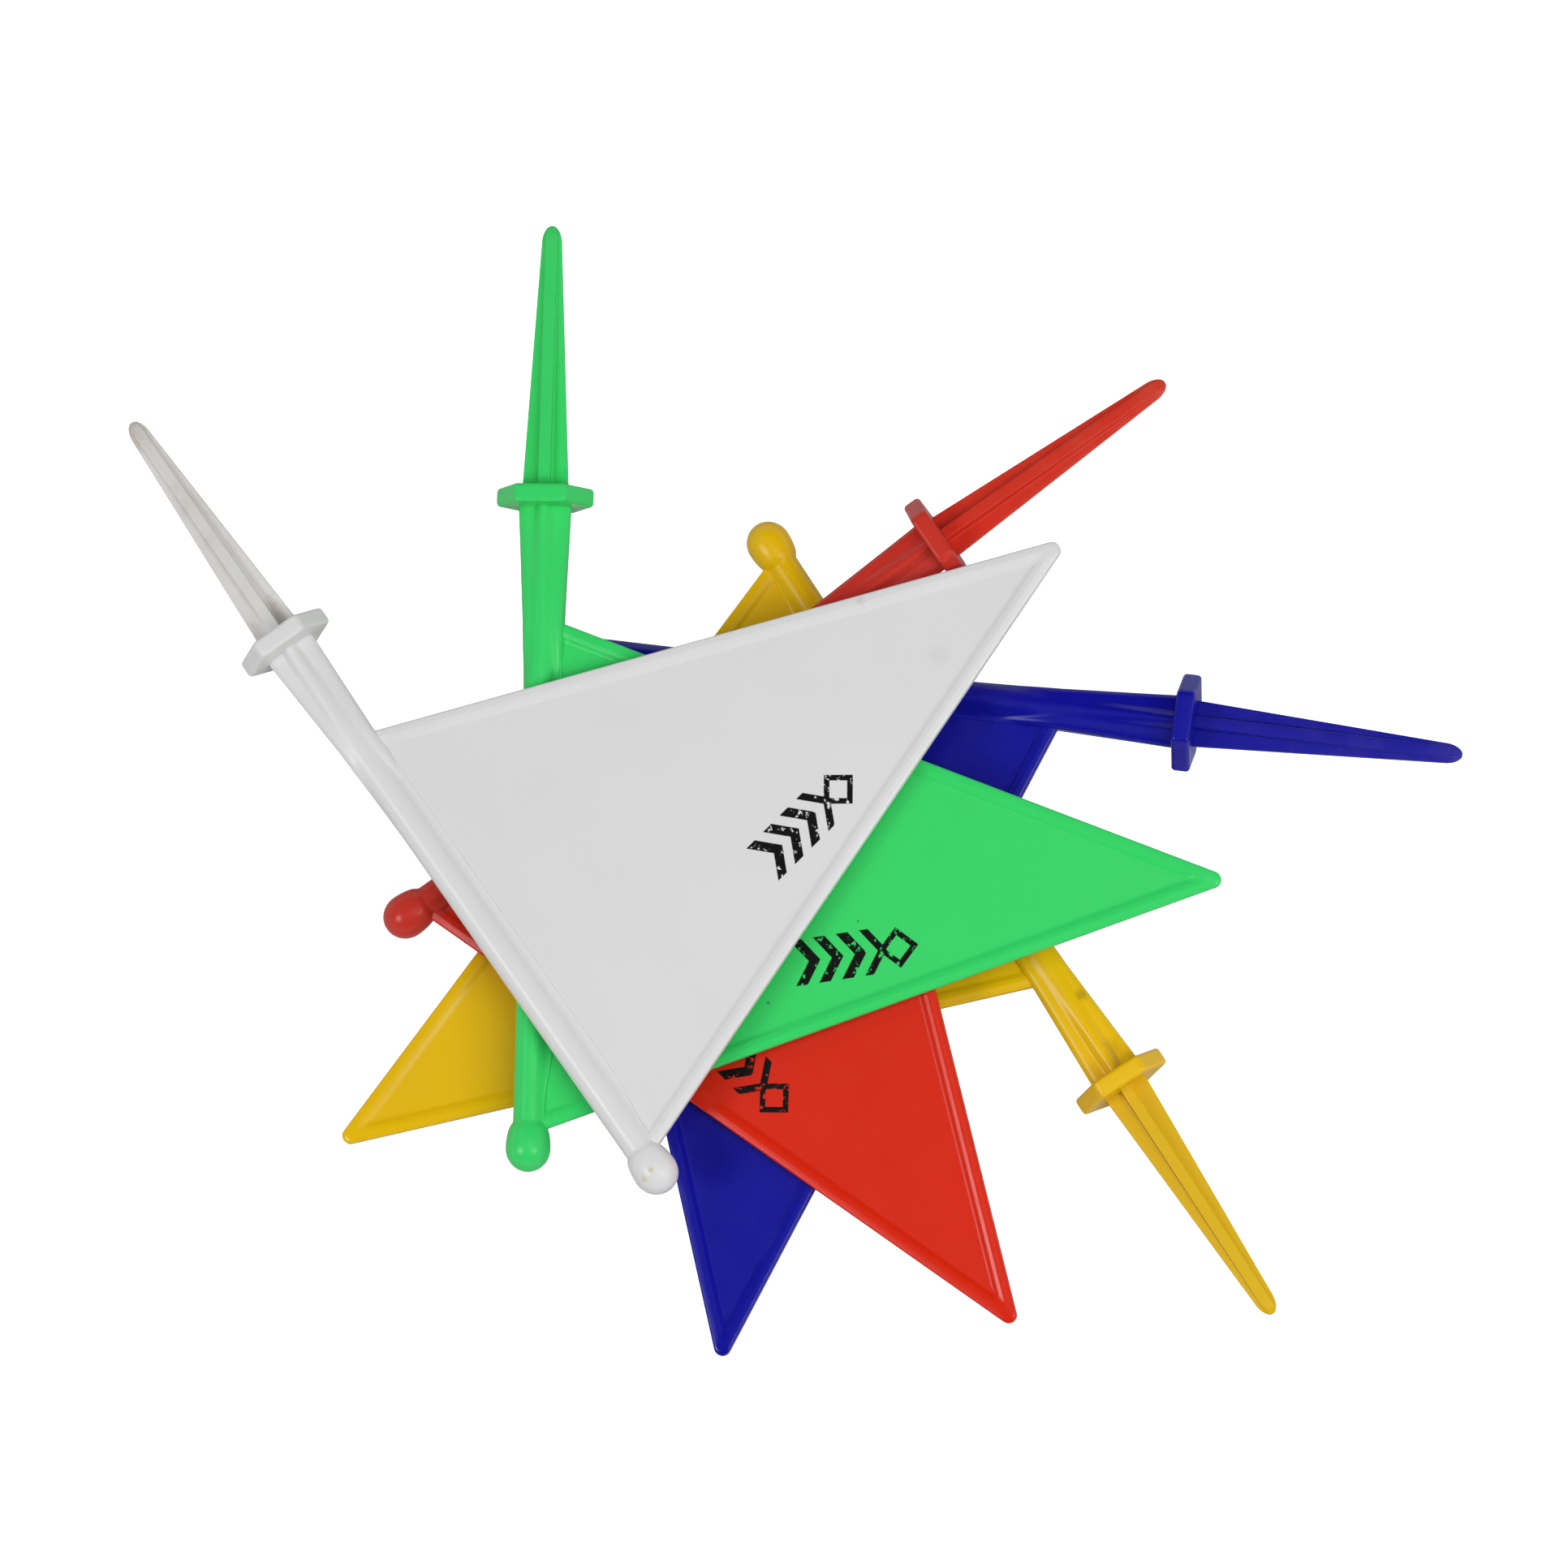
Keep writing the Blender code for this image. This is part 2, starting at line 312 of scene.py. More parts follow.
def between(a, b, t):
    """From a to b in a straight line as t goes from 0 to 1, and no farther."""
    return a + (b - a) * min(max(t, 0.0), 1.0)


def blended(a, b, width):
    """The larger of two heights, with the corner between them filled smoothly."""
    near = max(width - abs(a - b), 0.0) / width
    return max(a, b) + near * near * width / 4


def rounded_slab(x, low, high, half, edge):
    """Half the thickness at x of a slab from low to high whose edges are rounded."""
    past = max(low + edge - x, x - (high - edge), 0.0)
    if past >= edge:
        return half - edge if past < edge + TINY else 0.0
    return half - edge + math.sqrt(edge * edge - past * past)


def arc(centre, radius, start, end, steps):
    """Points along an arc of a circle from one angle to another."""
    angles = [start + (end - start) * i / steps for i in range(steps + 1)]
    return [(centre[0] + radius * math.cos(a), centre[1] + radius * math.sin(a)) for a in angles]


def placed(name, data):
    """A new object of this data in the scene."""
    made = bpy.data.objects.new(name, data)
    bpy.context.scene.collection.objects.link(made)
    return made


def loft(name, rings):
    """A closed solid through rings of equal length, its two ends capped."""
    count = len(rings[0])
    points = [point for ring in rings for point in ring]
    faces = []
    for k in range(len(rings) - 1):
        this_ring = k * count
        next_ring = this_ring + count
        for i in range(count):
            j = (i + 1) % count
            faces.append((this_ring + i, this_ring + j, next_ring + j, next_ring + i))
    faces.append(tuple(reversed(range(count))))
    faces.append(tuple(range(len(points) - count, len(points))))
    mesh = bpy.data.meshes.new(name)
    mesh.from_pydata(points, [], faces)
    shape = bmesh.new()
    shape.from_mesh(mesh)
    bmesh.ops.recalc_face_normals(shape, faces=shape.faces)
    shape.to_mesh(mesh)
    shape.free()
    return placed(name, mesh)


# ================================================================ the spine: stem, pole, neck and ball
def ball_radius(z):
    """The radius at height z of the ball, which is fuller towards the pole, and of the pole below it."""
    above = z - BALL_HEIGHT
    if above <= -NECK_LENGTH:
        return POLE_RADIUS
    if above < -SHOULDER_LENGTH:
        full = BALL_RADIUS * math.sqrt(1 - (SHOULDER_LENGTH / SHOULDER_TALL) ** 2)
        return between(POLE_RADIUS, full, (above + NECK_LENGTH) / (NECK_LENGTH - SHOULDER_LENGTH))
    tall = BALL_TALL if above > 0 else SHOULDER_TALL
    return BALL_RADIUS * math.sqrt(max(1 - (above / tall) ** 2, 0.0))


def spine_reach(z):
    """How far the spine reaches behind and in front of the pole's axis at height z."""
    radius = ball_radius(z)
    if z < STEM_TOP:
        up_stem = (z + ROOT) / (STEM_TOP + ROOT)
        half = STEM_WIDTH_AT_COLLAR / 2
        return between(half, STEM_BACK_AT_TOP, up_stem), between(half, STEM_FRONT_AT_TOP, up_stem)
    up_pole = (z - STEM_TOP) / (STEM_FIN_END - STEM_TOP)
    back = max(between(STEM_BACK_AT_TOP, radius, up_pole), radius)
    low, high = HOIST_STRIP_NARROWS
    front = between(STEM_FRONT_AT_TOP, HOIST_STRIP_X, up_pole)
    front += (HOIST_STRIP_X_AT_BALL - HOIST_STRIP_X) * ease((z - low) / (high - low))
    front = between(front, radius, 1 + (z - HOIST_STRIP_END) / HOIST_STRIP_RUNOUT)
    return back, max(front, radius)


def strip_height(x, front, radius):
    """Half the thickness at x of the strip in front of the pole, joined to the pole by a hollow fillet."""
    to_fillet = radius + HOIST_FILLET
    fillet_x = math.sqrt(to_fillet ** 2 - (HOIST_STRIP_HALF + HOIST_FILLET) ** 2)
    slab = rounded_slab(x, 0.0, front, HOIST_STRIP_HALF, HOIST_STRIP_EDGE)
    if x < fillet_x * radius / to_fillet or slab <= 0:
        return 0.0
    if x < fillet_x:
        slab += HOIST_FILLET - math.sqrt(HOIST_FILLET ** 2 - (fillet_x - x) ** 2)
    return slab


def spine_height(x, z, back, front):
    """Half the depth of the spine at x and height z."""
    radius = ball_radius(z)
    up_core = z / STEM_CORE_TOP
    wide = between(STEM_CORE_WIDTH / 2, radius, up_core)
    deep = between(STEM_CORE_DEPTH / 2, radius, up_core)
    core = deep * math.sqrt(max(1 - (x / wide) ** 2, 0.0))
    if z > HOIST_STRIP_END:
        return core
    up_stem = z / STEM_TOP
    up_pole = (z - STEM_TOP) / (STEM_FIN_END - STEM_TOP)
    half = STEM_FIN_HALF + (STEM_FIN_HALF_AT_TOP - STEM_FIN_HALF) * ease(up_stem)
    half *= 1 - ease(up_pole)
    fin = rounded_slab(x, -back, front, half, min(STEM_FIN_EDGE, STEM_FIN_EDGE_SHARE * half))
    fin *= 1 - between(FIN_TAPER, FIN_TAPER_AT_TOP, up_stem) * (x / back) ** 2
    height = blended(core, fin, STEM_VALLEY) if up_pole < 1 else core
    if z > HOIST_STRIP_START:
        height = max(height, strip_height(x, front, radius))
    return height


def spine_levels():
    """Heights of the spine's rings from the collar to the ball's end, closer together where it curves."""
    neck = BALL_HEIGHT - NECK_LENGTH
    stretches = (
        (STEM_FIN_END, STEM_STEPS),
        (neck - POLE_END_LENGTH, POLE_STEPS),
        (neck, POLE_END_STEPS),
        (BALL_HEIGHT - SHOULDER_LENGTH, NECK_STEPS),
        (BALL_HEIGHT, SHOULDER_STEPS),
    )
    levels = [-ROOT]
    for end, steps in stretches:
        levels += list(np.linspace(levels[-1], end, steps + 1))[1:]
    for i in range(1, BALL_RINGS + 1):
        levels.append(BALL_HEIGHT + BALL_TALL * math.sin(BALL_RING_ANGLE * i))
    return levels


def spine():
    """The stem, pole, neck and ball as one loft of closed rings."""
    rings = []
    for z in spine_levels():
        back, front = spine_reach(z)
        middle = (front - back) / 2
        half = (front + back) / 2
        ring = []
        for i in range(SPINE_POINTS):
            angle = 2 * math.pi * (i + 0.5) / SPINE_POINTS
            x = middle + half * math.cos(angle)
            side = 1 if math.sin(angle) > 0 else -1
            ring.append((x, side * spine_height(x, z, back, front), z))
        rings.append(ring)
    return loft("spine", rings)


# ================================================================ the spike
def spike_section(blade, rib, shrink):
    """One cross of the spike: a broad rib standing on a thinner web, with a tight fillet between them."""
    rib_half = RIB_HALF * shrink
    web = WEB_HALF * shrink
    edge = min(WEB_EDGE, web * WEB_EDGE_SHARE)
    room = min(rib - web - edge, blade - rib_half - edge)
    fillet = max(min(WEB_FILLET, room * WEB_FILLET_SHARE), LEAST_FILLET)
    quarter = arc((rib_half - edge, rib - edge), edge, math.pi / 2, 0.0, EDGE_STEPS)
    quarter += arc((rib_half + fillet, web + fillet), fillet, math.pi, 1.5 * math.pi, FILLET_STEPS)
    quarter += arc((blade - edge, web - edge), edge, math.pi / 2, 0.0, EDGE_STEPS)
    right = quarter + [(x, -y) for x, y in reversed(quarter)]
    return right + [(-x, y) for x, y in reversed(right)]


def spike():
    """The ground spike, from inside the collar to its blunt point."""
    shoulder = SPIKE_LENGTH - SPIKE_POINT
    rings = []
    for i in range(SPIKE_STEPS + 1):
        down = i / SPIKE_STEPS
        blade = between(BLADE_WIDTH, BLADE_WIDTH_AT_POINT, down) / 2
        rib = between(RIB_DEPTH, RIB_DEPTH_AT_POINT, down) / 2
        z = between(ROOT, -shoulder, down)
        rings.append([(x, y, z) for x, y in spike_section(blade, rib, 1.0)])
    for i in range(1, POINT_STEPS):
        angle = math.pi / 2 * i / POINT_STEPS
        small = math.cos(angle)
        shrink = small ** POINT_THINNING
        blade = max(BLADE_WIDTH_AT_POINT / 2 * small, RIB_HALF * shrink + LEAST_LEDGE)
        rib = max(RIB_DEPTH_AT_POINT / 2 * small, WEB_HALF * shrink + LEAST_LEDGE)
        z = -shoulder - SPIKE_POINT * math.sin(angle)
        rings.append([(x, y, z) for x, y in spike_section(blade, rib, shrink)])
    return loft("spike", rings)


# ================================================================ the pennant
def along(edge, x, inset):
    """The height at x of one of the pennant's free edges, moved inwards by inset."""
    (x0, z0), (x1, z1) = edge
    slope = (z1 - z0) / (x1 - x0)
    inwards = 1 if z0 < z1 else -1
    return z0 + slope * (x - x0) + inwards * inset * math.hypot(1, slope)


def pennant_loop(inset, x_start, corner):
    """The pennant's outline moved inwards by inset, as (x, z), its apex rounded by corner."""
    apex = (APEX_X, APEX_HEIGHT)
    lower = ((HOIST_X, STEM_TOP), apex)
    upper = ((HOIST_X, HOIST_TOP), apex)
    rise, fall = [math.atan2(b[1] - a[1], b[0] - a[0]) for a, b in (lower, upper)]
    gap = along(upper, x_start, inset) - along(lower, x_start, inset)
    apex_x = x_start + gap / (math.tan(rise) - math.tan(fall))
    apex_z = along(lower, apex_x, inset)
    middle = (rise + fall) / 2
    back = corner / math.sin((rise - fall) / 2)
    centre = (apex_x - back * math.cos(middle), apex_z - back * math.sin(middle))
    loop = [(x_start, along(upper, x_start, inset)), (x_start, along(lower, x_start, inset))]
    return loop + arc(centre, corner, rise - math.pi / 2, fall + math.pi / 2, APEX_STEPS)


def rim_profile():
    """(inset, half thickness) pairs from the pennant's edge over the rim's crest down to the panel."""
    edge_half = RIM_HALF - RIM_EDGE - RIM_EDGE_DROP
    profile = arc((RIM_EDGE, edge_half), RIM_EDGE, math.pi, math.pi / 2, RIM_EDGE_STEPS)
    profile += [(RIM_CREST + inwards, RIM_HALF - below) for inwards, below in RIM_CROWN]
    inwards, below = RIM_SHOULDER
    for i in range(RIM_FALL_STEPS + 1):
        t = i / RIM_FALL_STEPS
        fall = (1 - math.cos(math.pi * t)) / 2
        inset = between(RIM_CREST + inwards, RIM_FOOT, t)
        profile.append((inset, between(RIM_HALF - below, PANEL_HALF, fall)))
    return profile


def pennant():
    """The triangular sheet with its raised rim, both sides alike."""
    side = []
    for inset, half in rim_profile():
        corner = max(APEX_RADIUS - APEX_TIGHTENING * inset, APEX_RADIUS_INSIDE)
        loop = pennant_loop(inset, PENNANT_X + PENNANT_X_SLANT * inset, corner)
        side.append([(x, half, z) for x, z in loop])
    panel = pennant_loop(RIM_FOOT + RIM_TO_PANEL, PANEL_X, APEX_RADIUS_INSIDE)
    side.append([(x, PANEL_HALF, z) for x, z in panel])
    other = [[(x, -y, z) for x, y, z in loop] for loop in side]
    return loft("pennant", list(reversed(other)) + side)


# ================================================================ the collar and the whole moulding
def collar():
    """The hexagonal plate between the stem and the spike, its edges rounded."""
    radius = COLLAR_ACROSS_CORNERS / 2
    corners = [math.radians(60 * i) for i in range(6)]
    rings = []
    for z in (-COLLAR_THICKNESS / 2, COLLAR_THICKNESS / 2):
        rings.append([(radius * math.cos(a), radius * math.sin(a), z) for a in corners])
    made = loft("collar", rings)
    step = made.modifiers.new("edges", "BEVEL")
    step.width = COLLAR_EDGE
    step.segments = COLLAR_EDGE_STEPS
    step.limit_method = "ANGLE"
    step.angle_limit = SHARP_CORNER
    return made


def evaluated_mesh(thing):
    """The mesh of a thing with its modifiers applied."""
    bpy.context.view_layer.update()
    return bpy.data.meshes.new_from_object(thing.evaluated_get(bpy.context.evaluated_depsgraph_get()))


def moulding():
    """The whole flag as one closed mesh in its planted frame, in millimetres."""
    parts = [spine(), collar(), spike(), pennant()]
    body = parts[0]
    for part in parts[1:]:
        step = body.modifiers.new(part.name, "BOOLEAN")
        step.solver = "EXACT"
        step.operation = "UNION"
        step.object = part
    mesh = evaluated_mesh(body)
    for part in parts:
        bpy.data.objects.remove(part, do_unlink=True)
    mesh.shade_smooth()
    mesh.set_sharp_from_angle(angle=SHARP_CREASE)
    return mesh


def keep_planted_places(mesh):
    """Stores each point's place in the planted frame, which the plastic's patterns are laid out in."""
    places = np.zeros(len(mesh.vertices) * 3, np.float32)
    mesh.vertices.foreach_get("co", places)
    kept = mesh.attributes.new("planted", "FLOAT_VECTOR", "POINT")
    kept.data.foreach_set("vector", places)


def lie_of(colour):
    """The matrix from the planted frame in millimetres to the row frame, read from the CAD flag."""
    seats = {mount["name"]: mount for mount in frame["record"]["mounts"]}
    seat = seats[colour + "_collar_seat"]
    place = Vector(seat["pos_m"])
    up = -Vector(seat["axis"]).normalized()
    mesh = frame["nodes"][colour + "_flag"].data
    offsets = [vertex.co - place for vertex in mesh.vertices]
    offsets = [offset - up * offset.dot(up) for offset in offsets]
    farthest = max(offset.length for offset in offsets)
    corner_depth = 0.2 * MM
    tip = sum((offset for offset in offsets if offset.length > farthest - corner_depth), Vector())
    out = tip.normalized()
    facing = Matrix((out, up.cross(out), up)).transposed()
    return Matrix.Translation(place - facing @ SEAT * MM) @ (facing * MM).to_4x4()


# ================================================================ plastic
class Nodes:
    """Short names for the shader nodes that the plastic is made of."""

    def __init__(self, material):
        self.tree = material.node_tree

    def put(self, socket, value):
        """Sets a socket to a value, or links another node's output to it."""
        if isinstance(value, bpy.types.NodeSocket):
            self.tree.links.new(value, socket)
        else:
            socket.default_value = value

    def put_colour(self, socket, value):
        """The same for a colour given as red, green and blue."""
        self.put(socket, value if isinstance(value, bpy.types.NodeSocket) else (*value, 1.0))

    def attribute(self, name):
        node = self.tree.nodes.new("ShaderNodeAttribute")
        node.attribute_name = name
        return node.outputs["Vector"]

    def parts(self, vector):
        """The X, Y and Z of a vector."""
        node = self.tree.nodes.new("ShaderNodeSeparateXYZ")
        self.put(node.inputs[0], vector)
        return node.outputs

    def number(self, operation, a, b=0.0, clamp=False):
        node = self.tree.nodes.new("ShaderNodeMath")
        node.operation = operation
        node.use_clamp = clamp
        self.put(node.inputs[0], a)
        self.put(node.inputs[1], b)
        return node.outputs[0]

    def plus(self, a, b):
        return self.number("ADD", a, b)

    def minus(self, a, b):
        return self.number("SUBTRACT", a, b)

    def times(self, a, b, clamp=False):
        return self.number("MULTIPLY", a, b, clamp)

    def size(self, a):
        return self.number("ABSOLUTE", a)

    def vector(self, operation, a, b=(0.0, 0.0, 0.0)):
        node = self.tree.nodes.new("ShaderNodeVectorMath")
        node.operation = operation
        self.put(node.inputs[0], a)
        self.put(node.inputs[1], b)
        return node.outputs["Value" if operation == "LENGTH" else "Vector"]

    def noise(self, place, scale, detail=2.0, rough=0.5):
        node = self.tree.nodes.new("ShaderNodeTexNoise")
        self.put(node.inputs["Vector"], place)
        node.inputs["Scale"].default_value = scale
        node.inputs["Detail"].default_value = detail
        node.inputs["Roughness"].default_value = rough
        return node.outputs["Fac"]

    def specks(self, place):
        """Round specks scattered at random, about one to every spacing, of which a share is kept."""
        node = self.tree.nodes.new("ShaderNodeTexVoronoi")
        self.put(node.inputs["Vector"], place)
        node.inputs["Scale"].default_value = 1 / SPECK_SPACING
        gap = self.times(node.outputs["Distance"], SPECK_SPACING)
        dot = self.range(gap, SPECK_RADIUS, SPECK_RADIUS * SPECK_CORE)
        chance = self.parts(node.outputs["Color"])["X"]
        return self.times(dot, self.number("LESS_THAN", chance, SPECK_SHARE))

    def range(self, value, low, high, to_low=0.0, to_high=1.0):
        """From to_low to to_high along a smooth step as the value goes from low to high."""
        node = self.tree.nodes.new("ShaderNodeMapRange")
        node.interpolation_type = "SMOOTHSTEP"
        for socket, given in zip(node.inputs, (value, low, high, to_low, to_high)):
            self.put(socket, given)
        return node.outputs[0]

    def mix(self, share, a, b):
        """A share of colour b over colour a. Sockets 6, 7 and 2 are the node's colours A, B and result."""
        node = self.tree.nodes.new("ShaderNodeMix")
        node.data_type = "RGBA"
        self.put(node.inputs[0], share)
        self.put_colour(node.inputs[6], a)
        self.put_colour(node.inputs[7], b)
        return node.outputs[2]


def shaded(colour, share):
    """A colour darkened to a share of itself."""
    return [part * share for part in colour]


def stamp(n, place):
    """How much ink lies at a place: a plain worn row of chevrons and a diamond on the side facing +Y."""
    x, y, z = n.parts(place)
    right = n.minus(x, PRINT_X)
    up = n.minus(z, PRINT_HEIGHT)
    turn_cos = math.cos(PRINT_TURN)
    turn_sin = math.sin(PRINT_TURN)
    u = n.plus(n.times(right, turn_cos), n.times(up, turn_sin))
    v = n.minus(n.times(up, turn_cos), n.times(right, turn_sin))
    off_line = n.size(v)

    slanted = n.plus(n.times(off_line, CHEVRON_SLANT), u)
    phase = n.number("FRACT", n.times(slanted, 1 / CHEVRON_PITCH))
    from_bar = n.times(n.size(n.minus(phase, 0.5)), CHEVRON_PITCH)
    bars = n.range(from_bar, CHEVRON_HALF + INK_EDGE, CHEVRON_HALF)
    bars = n.times(bars, n.range(off_line, CHEVRON_REACH + INK_EDGE, CHEVRON_REACH))
    bars = n.times(bars, n.range(slanted, -CHEVRON_START - INK_EDGE, -CHEVRON_START))
    bars = n.times(bars, n.range(slanted, CHEVRON_END + INK_EDGE, CHEVRON_END))

    from_diamond = n.plus(n.size(n.minus(u, DIAMOND_U)), off_line)
    from_outline = n.size(n.minus(from_diamond, DIAMOND_REACH))
    diamond = n.range(from_outline, DIAMOND_HALF + INK_EDGE, DIAMOND_HALF)

    left_by_wear = n.range(n.noise(place, *FLAKE_NOISE), *FLAKE_RANGE)
    ink = n.times(n.number("MAXIMUM", bars, diamond), left_by_wear)
    return n.times(ink, n.range(y, *PRINT_SIDE_Y))


def clean_colour(n, place, colour):
    """The plastic's colour: painted shade and sheen make the red darker and greyer where it is thick,
    painted shade darkens the spike, and the colour is faintly clouded.
    """
    at = n.parts(place)
    base = COLOURS[colour]
    shaded_thick_base = SHADED_THICK_COLOURS.get(colour, base)
    shaded_spike_base = SHADED_SPIKE_COLOURS.get(colour, shaded_thick_base)
    # Painted shade and sheen: the red turns darker and greyer in front of the pole and down the stem.
    thick_shade = n.number("MAXIMUM", n.range(at["X"], *THICK_X), n.range(at["Z"], *THICK_Z))
    # Painted shade: the spike takes a darker copy of the colour below the collar.
    on_spike = n.range(at["Z"], -COLLAR_THICKNESS / 2, -COLLAR_THICKNESS / 2 - SPIKE_FADE)
    paint = n.mix(on_spike, n.mix(thick_shade, base, shaded_thick_base), shaded_spike_base)
    cloud = n.range(n.noise(place, *CLOUD_NOISE), *CLOUD_RANGE)
    return n.mix(n.times(cloud, CLOUD_STRENGTH), paint, shaded(base, CLOUD_SHADE))


def soil_cover(n, place, colour):
    """How much soil lies at a place: along the spike, thicker on its point and in patches."""
    z = n.parts(place)["Z"]
    amount = SOIL_ON_SPIKE[colour]
    from_point, to_point = [length - SPIKE_LENGTH for length in SOIL_POINT_LENGTHS]
    on_spike = n.range(z, SOIL_TOP, -SPIKE_LENGTH / 2, 0.0, amount)
    on_point = n.range(z, from_point, to_point, 0.0, amount * SOIL_POINT_GAIN)
    patches = n.range(n.noise(place, *SOIL_NOISE), *SOIL_RANGE)
    return n.times(n.plus(on_spike, on_point), n.plus(patches, SOIL_BETWEEN_PATCHES), clamp=True)


def marked(n, place, paint, colour):
    """The paint with the flag's single marks on it, each with a ragged edge."""
    for middle, radius, taller, amount, tint in MARKS[colour]:
        uneven = n.minus(0.5, n.noise(place, MARK_NOISE_PER_RADIUS / radius, *MARK_NOISE))
        off = n.vector("MULTIPLY", n.vector("SUBTRACT", place, middle), (1.0, 1.0, 1 / taller))
        gap = n.plus(n.vector("LENGTH", off), n.times(uneven, MARK_RAGGEDNESS * radius))
        paint = n.mix(n.range(gap, radius, radius * MARK_CORE, 0.0, amount), paint, tint)
    return paint


def roughness(n, place, soiled, ink):
    """Dull in clouds, scuffed in streaks, duller under soil and ink, and shiny on the rim."""
    at = n.parts(place)
    dull = n.range(n.noise(place, *DULL_NOISE), *DULL_RANGE, *DULL_ROUGHNESS)
    streaks = n.noise(n.vector("MULTIPLY", place, SCUFF_STRETCH), *SCUFF_NOISE)
    scuffs = n.range(streaks, *SCUFF_RANGE, 0.0, SCUFF_ROUGHNESS)
    off_panel = n.range(n.size(at["Y"]), *RIM_SHINE_Y)
    on_rim = n.times(off_panel, n.range(at["X"], *RIM_SHINE_X))
    rough = n.minus(n.plus(dull, scuffs), n.times(on_rim, RIM_SHINE))
    rough = n.plus(rough, n.times(soiled, SOIL_ROUGHNESS))
    return n.plus(rough, n.times(ink, INK_ROUGHNESS))


def relief(n, place, ink):
    """The surface normal with the mould's fine grain, a slight waviness and the ink's thickness."""
    grain = n.times(n.noise(place, *GRAIN_NOISE), GRAIN_DEPTH)
    wave = n.times(n.noise(place, *WAVE_NOISE), WAVE_DEPTH)
    bump = n.tree.nodes.new("ShaderNodeBump")
    bump.inputs["Strength"].default_value = 1.0
    bump.inputs["Distance"].default_value = MM
    n.put(bump.inputs["Height"], n.plus(n.plus(grain, wave), n.times(ink, INK_THICKNESS)))
    return bump.outputs["Normal"]


def plastic(colour):
    """The plastic of one flag, with its painted shade, soil, marks, specks and stamp."""
    made = bpy.data.materials.new(colour + "_plastic")
    made.use_nodes = True
    n = Nodes(made)
    place = n.attribute("planted")
    soiled = soil_cover(n, place, colour)
    ink = stamp(n, place)
    paint = n.mix(soiled, clean_colour(n, place, colour), SOIL)
    paint = marked(n, place, paint, colour)
    paint = n.mix(n.specks(place), paint, shaded(COLOURS[colour], SPECK_SHADE))
    shader = made.node_tree.nodes["Principled BSDF"]
    n.put(shader.inputs["Base Color"], n.mix(ink, paint, INK))
    n.put(shader.inputs["Roughness"], roughness(n, place, soiled, ink))
    n.put(shader.inputs["Specular IOR Level"], n.minus(SPECULAR, n.times(ink, INK_SPECULAR_LOSS)))
    n.put(shader.inputs["Normal"], relief(n, place, ink))
    return made


# ================================================================ stage
def floor_white():
    """A matt white that looks evenly bright from the camera and still throws soft light back."""
    made = bpy.data.materials.new("floor_white")
    made.use_nodes = True
    tree = made.node_tree
    shader = tree.nodes["Principled BSDF"]
    shader.inputs["Base Color"].default_value = FLOOR_COLOUR
    shader.inputs["Roughness"].default_value = FLOOR_ROUGHNESS
    shader.inputs["Specular IOR Level"].default_value = FLOOR_SPECULAR
    shader.inputs["Emission Color"].default_value = WHITE_LIGHT
    path = tree.nodes.new("ShaderNodeLightPath")
    tree.links.new(path.outputs["Is Camera Ray"], shader.inputs["Emission Strength"])
    return made


def floor():
    """The pale ground that the flags lie on."""
    half = FLOOR_HALF
    corners = [(-half, -half, 0.0), (half, -half, 0.0), (half, half, 0.0), (-half, half, 0.0)]
    mesh = bpy.data.meshes.new("floor")
    mesh.from_pydata(corners, [], [(0, 1, 2, 3)])
    mesh.materials.append(floor_white())
    placed("floor", mesh)


def lamp(name, azimuth, elevation, power, size, reflected):
    """A square lamp aimed at the middle of the flags."""
    light = bpy.data.lights.new(name, "AREA")
    light.shape = "SQUARE"
    light.size = size
    light.energy = power
    made = placed(name, light)
    around = math.radians(azimuth)
    up = math.radians(elevation)
    towards = Vector((math.cos(around) * math.cos(up), math.sin(around) * math.cos(up), math.sin(up)))
    made.location = towards * LAMP_DISTANCE
    made.rotation_euler = towards.to_track_quat("Z", "Y").to_euler()
    made.visible_glossy = reflected


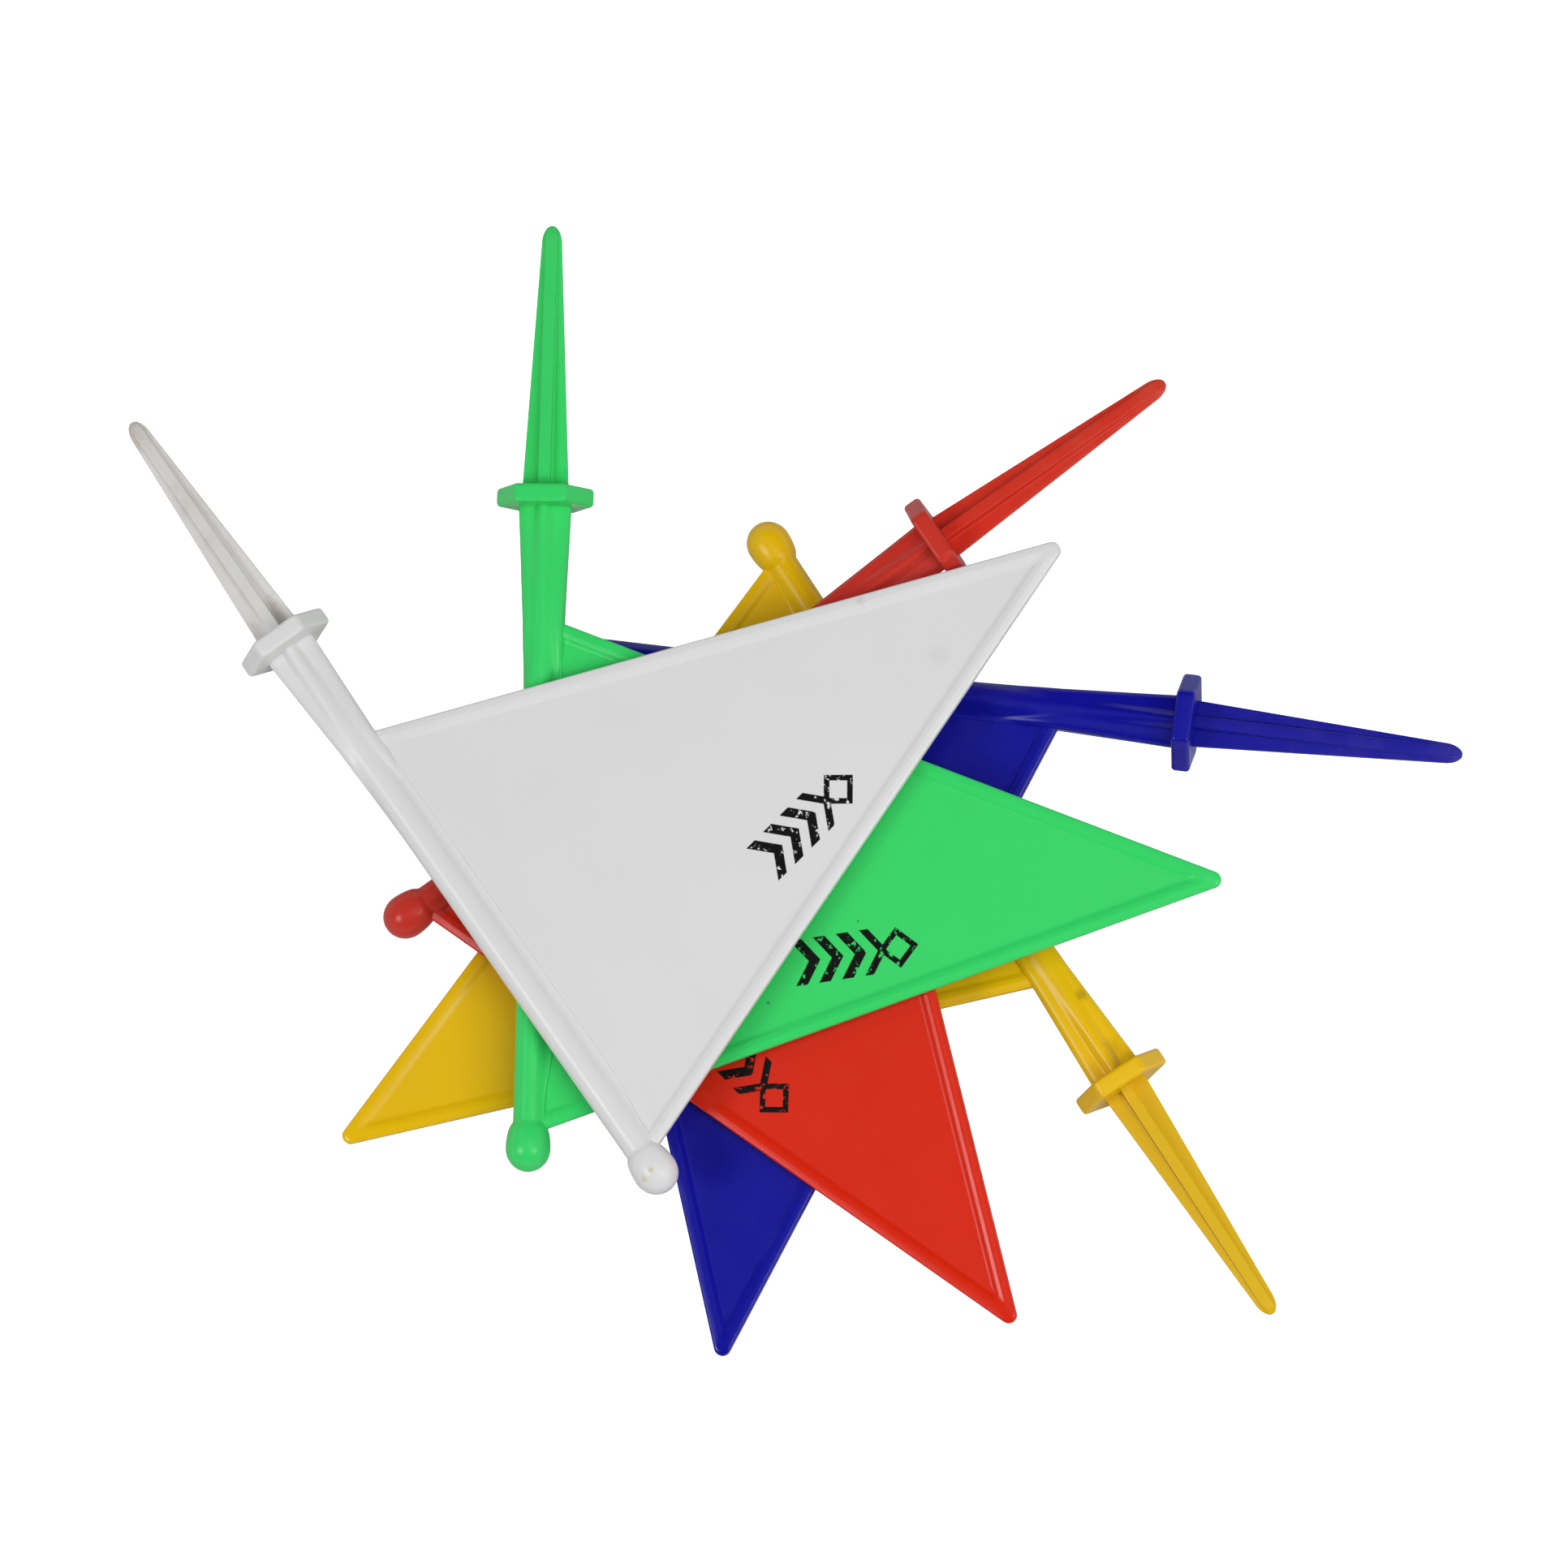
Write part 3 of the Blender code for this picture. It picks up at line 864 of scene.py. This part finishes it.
def surroundings():
    """White light from all around, which fades from the horizon upwards."""
    world = bpy.data.worlds.new("studio")
    bpy.context.scene.world = world
    world.use_nodes = True
    tree = world.node_tree
    background = tree.nodes["Background"]
    background.inputs["Color"].default_value = WHITE_LIGHT
    place = tree.nodes.new("ShaderNodeTexCoord")
    parts = tree.nodes.new("ShaderNodeSeparateXYZ")
    fade = tree.nodes.new("ShaderNodeMapRange")
    fade.interpolation_type = "SMOOTHSTEP"
    for socket, value in zip(fade.inputs[1:5], SKY_HEIGHTS + SKY_STRENGTHS):
        socket.default_value = value
    tree.links.new(place.outputs["Generated"], parts.inputs[0])
    tree.links.new(parts.outputs["Z"], fade.inputs["Value"])
    tree.links.new(fade.outputs[0], background.inputs["Strength"])


def camera():
    """The camera, turned about its own upright axis and then tilted."""
    data = bpy.data.cameras.new("camera")
    data.sensor_width = CAMERA_SENSOR
    data.lens = CAMERA_SENSOR * CAMERA_DISTANCE / VIEW_WIDTH
    data.clip_end = CAMERA_FARTHEST
    made = placed("camera", data)
    to_camera = Matrix.Rotation(CAMERA_TILT, 3, "X") @ Matrix.Rotation(CAMERA_SIDE, 3, "Y")
    facing = to_camera.transposed()
    back = facing @ Vector((0, 0, 1))
    made.matrix_world = Matrix.Translation(LOOK_AT + back * CAMERA_DISTANCE) @ facing.to_4x4()
    bpy.context.scene.camera = made


# ================================================================ the whole scene
def flag(shape, colour):
    """A copy of the moulding laid over one CAD flag, riding on its body in its place."""
    mesh = shape.copy()
    mesh.name = colour + "_moulding"
    mesh.transform(lie_of(colour))
    mesh.materials.clear()
    mesh.materials.append(plastic(colour))
    made = placed(colour + "_moulding", mesh)
    step = made.modifiers.new("shading", "WEIGHTED_NORMAL")
    step.keep_sharp = True
    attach(made, colour)
    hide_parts(colour + "_flag")


def main():
    """The five flags, the ground, the light and the camera."""
    shape = moulding()
    keep_planted_places(shape)
    for colour in FLAGS:
        flag(shape, colour)
    floor()
    for given in LAMPS:
        lamp(*given)
    surroundings()
    camera()
    bpy.context.scene.view_settings.view_transform = "Standard"


main()
